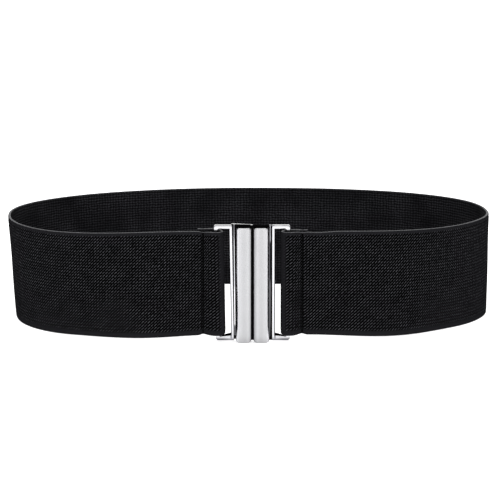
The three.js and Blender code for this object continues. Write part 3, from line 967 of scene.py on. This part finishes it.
def frame_painted_shading(tree, tone):
    """The frames' painted shading: painted shade along the slot's inner side and at the foot, darker towards
    the outer wire.

    The upper end of each outer wire carries a painted reflection of the black webbing that it goes into, and
    the back half of the top faces a painted highlight for the bright wall behind. Distances follow the left
    frame's lean.
    """
    x, depth, height = place_in_millimetres(tree)
    leaning = product(tree, node(tree, "Math LESS_THAN", x, BUCKLE_X), FRAME_LEAN_LEFT)
    lean = product(tree, node(tree, "Math SUBTRACT", height, FRAME_MIDDLE), leaning)
    away = node(tree, "Math SUBTRACT", apart(tree, x, BUCKLE_X), lean)

    # painted shade along the slot's inner side and at the foot
    side_edge = between(tree, (away, SLOT_START - 0.75, SLOT_START - 0.5),
                        (away, SLOT_START + 0.6, SLOT_START + 0.4), (height, *SIDE_SHADE_BELOW))
    foot = between(tree, (height, FRAME_LIFT + FOOT_SHADE[0], FRAME_LIFT + FOOT_SHADE[1]))
    outer_part = between(tree, (away, 13.0, 18.0))
    # the painted shade is darker towards the outer wire
    painted_shade_tone = node(tree, "Mix RGBA", outer_part, linear("#88888c"), linear("#4a4a4e"))
    toned = node(tree, "Mix RGBA", node(tree, "Math MAXIMUM", side_edge, foot), tone, painted_shade_tone)

    # painted reflection of the black webbing at the outer wire's upper end
    into_fold = between(tree, (away, SLOT_END - HOOK_SHADE_REACH, SLOT_END),
                        (height, FRAME_TOP - HOOK_SHADE_TOP, FRAME_TOP - HOOK_SHADE_FULL))
    hook_end = product(tree, into_fold, node(tree, "Math GREATER_THAN", height, FRAME_MIDDLE))
    hidden = node(tree, "Mix RGBA", hook_end, toned, linear("#2a2a2c"))
    # painted highlight on the back half of the top faces
    back_half = BUCKLE_Y + FRAME_FRONT + WIRE_DEPTH / 2
    top = between(tree, (height, FRAME_TOP - TOP_HIGHLIGHT_HEIGHTS[0], FRAME_TOP - TOP_HIGHLIGHT_HEIGHTS[1]),
                  (depth, back_half - TOP_HIGHLIGHT_BLEND, back_half))
    return node(tree, "Mix RGBA", top, hidden, linear("#fafafa"))


def groove_metal(name, tones, flank=None):
    """Nickel of the ribs between bar and frame, painted with reflections whose tone changes with height: (mm,
    colour) steps.

    A flank tone, where one is given, paints the reflection on the side of the rib next to the bar.
    """
    material, tree = new_material(name)
    place = place_in_millimetres(tree)
    tone = node(tree, "ValToRGB", node(tree, "Math DIVIDE", place[2], PLATE_HEIGHTS[1]))
    ramp = tone.node.color_ramp
    ramp.interpolation = "EASE"
    while len(ramp.elements) < len(tones):
        ramp.elements.new(0.5)
    for step, (level, colour) in zip(ramp.elements, tones):
        step.position = level / PLATE_HEIGHTS[1]
        step.color = linear(colour)
    if flank:
        away = node(tree, "Math SUBTRACT", place[0], BUCKLE_X)
        beside = node(tree, "Math LESS_THAN", away, RIB_OUTER - RIB_FLANK_SETBACK)
        tone = node(tree, "Mix RGBA", beside, tone, linear(flank))
    finished(tree, Base_Color=tone, Metallic=1.0, Roughness=0.15)
    return material


def buckle_metals(groove):
    """Bright nickel for frames and satin for bars, each with painted shading, near black painted shade in
    recesses, darker painted shade on edges, and the grooves' own painted reflections.
    """
    return (
        plated("bright_nickel_plate", "#c8c8cb", "#d0d0d3", 0.05, 0.12, shade=frame_painted_shading),
        plated("satin_nickel_plate", "#b3b3b5", "#b8b8ba", 0.24, 0.28, shade=bar_painted_shading),
        # painted shade: near black recesses and darker edges
        plated("nickel_recess_painted_shade", "#060606", "#0c0c0d", 0.35, 0.5, grazing=0.05),
        plated("nickel_edges_painted_shade", "#5e5e62", "#68686c", 0.1, 0.2),
        groove,
    )


def seamless_paper():
    """Matt white background paper with a barely uneven tone, which glows a little as if lit from beneath."""
    material, tree = new_material("white_background_paper")
    grain = node(tree, "TexNoise", Vector=node(tree, "TexCoord", output="Object"), Scale=3.0, Detail=2.0)
    colour = node(tree, "Mix RGBA", grain, linear("#f4f4f4"), linear("#f8f8f8"))
    finished(tree, Base_Color=colour, Roughness=0.9, Specular_IOR_Level=0.1,
             Emission_Color=(1, 1, 1, 1), Emission_Strength=FLOOR_GLOW)
    return material


def floor():
    """A pale floor far wider than the view."""
    half = FLOOR_HALF_WIDTH
    corners = [(-half, -half, 0), (half, -half, 0), (half, half, 0), (-half, half, 0)]
    mesh_object("studio_floor", corners, [[0, 1, 2, 3]], [seamless_paper()])


def studio():
    """A dark studio: a broad panel overhead, windows in front and behind, and a low white wall at the back.

    The world holds them by direction. Each is a product of smooth steps of the direction's parts, so the
    floor is lit evenly, and the metal has bright and dark bands to mirror. All are added to a faint light
    from everywhere.
    """
    world = bpy.data.worlds.new("studio_surroundings")
    bpy.context.scene.world = world
    world.use_nodes = True
    tree = world.node_tree
    tree.nodes.clear()
    direction = node(tree, "SeparateXYZ", node(tree, "TexCoord", output="Generated")).node.outputs
    depth, up = direction[1], direction[2]
    tilted_up = product(tree, up, math.cos(PANEL_TILT))
    to_panel = node(tree, "Math MULTIPLY_ADD", depth, -math.sin(PANEL_TILT), tilted_up)
    sources = [
        (OVERHEAD_LIGHT, [(to_panel, 0.66, 0.78)]),
        (FRONT_LIGHT, [(up, 0.12, 0.25), (up, 0.72, 0.62), (depth, -0.3, -0.5)]),
        (WALL_LIGHT, [(depth, 0.0, 0.2), (up, 0.32, 0.26)]),
        (BACK_LIGHT, [(up, 0.36, 0.44), (up, 0.72, 0.62), (depth, 0.3, 0.5)]),
    ]
    light = AMBIENT_LIGHT
    for strength, steps in sources:
        light = node(tree, "Math MULTIPLY_ADD", between(tree, *steps), strength, light)
    node(tree, "OutputWorld", Surface=node(tree, "Background", Color=(1, 1, 1, 1), Strength=light))
    bpy.context.scene.view_settings.view_transform = "Standard"


def camera():
    """The photograph's view: a long lens looking slightly down on the belt's front."""
    lens = bpy.data.cameras.new("photo_camera")
    lens.sensor_width = SENSOR
    lens.lens = SENSOR * FOCAL_PIXELS / PHOTO_SIZE
    lens.clip_start, lens.clip_end = CLIP_RANGE
    made = bpy.data.objects.new("photo_camera", lens)
    bpy.context.scene.collection.objects.link(made)
    rise, turn = math.radians(ELEVATION), math.radians(AZIMUTH)
    away = np.array([math.sin(turn) * math.cos(rise), -math.cos(turn) * math.cos(rise), math.sin(rise)])
    made.location = (np.array(TARGET) + away * FOCAL_PIXELS / PIXELS_PER_MM) * MM
    made.rotation_euler = Vector(-away).to_track_quat("-Z", "Y").to_euler()
    bpy.context.scene.camera = made


def dress_webbing():
    """The strip with its outer, inner and rim finishes."""
    band = elastic_band(twill_webbing(), ribbed_webbing(), rim_with_painted_highlight())
    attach(band, "root")
    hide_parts("elastic_band")
    return band


def dress_buckle():
    """Both castings, which differ in the reflections painted on their grooves."""
    # painted reflections: the grooves' tones by height
    left_groove = groove_metal("nickel_plate_left_groove", [
        (8.5, "#78787c"), (10.5, "#e8e8ea"), (30.0, "#e8e8ea"),
        (33.0, "#c0c0c4"), (55.0, "#b6b6ba"), (64.0, "#88888c")])
    right_groove = groove_metal("nickel_plate_right_groove", [
        (6.0, "#262628"), (12.0, "#505052"), (33.0, "#606062"),
        (38.0, "#0e0e10"), (57.0, "#0e0e10"), (59.8, "#9c9ca0")], flank="#5c5c60")
    halves = (("buckle_half_left", buckle_half_left(buckle_metals(left_groove))),
              ("buckle_half_right", buckle_half_right(buckle_metals(right_groove))))
    for stands_for, piece in halves:
        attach(piece, "root")
        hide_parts(stands_for)


def dress_seams():
    """One row of stitches on each layer of each folded end."""
    thread = spun_thread()
    places = (("left_tail", TAIL_SEAM_AT), ("left_front", FRONT_SEAM_AT),
              ("right_front", CUT_LENGTH - FRONT_SEAM_AT), ("right_tail", CUT_LENGTH - TAIL_SEAM_AT))
    rows = [seam_threads("stitches_" + name, arc, thread) for name, arc in places]
    for row in rows:
        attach(row, "root")
    return rows


camera()
studio()
floor()
band = dress_webbing()
dress_buckle()
threads = dress_seams()
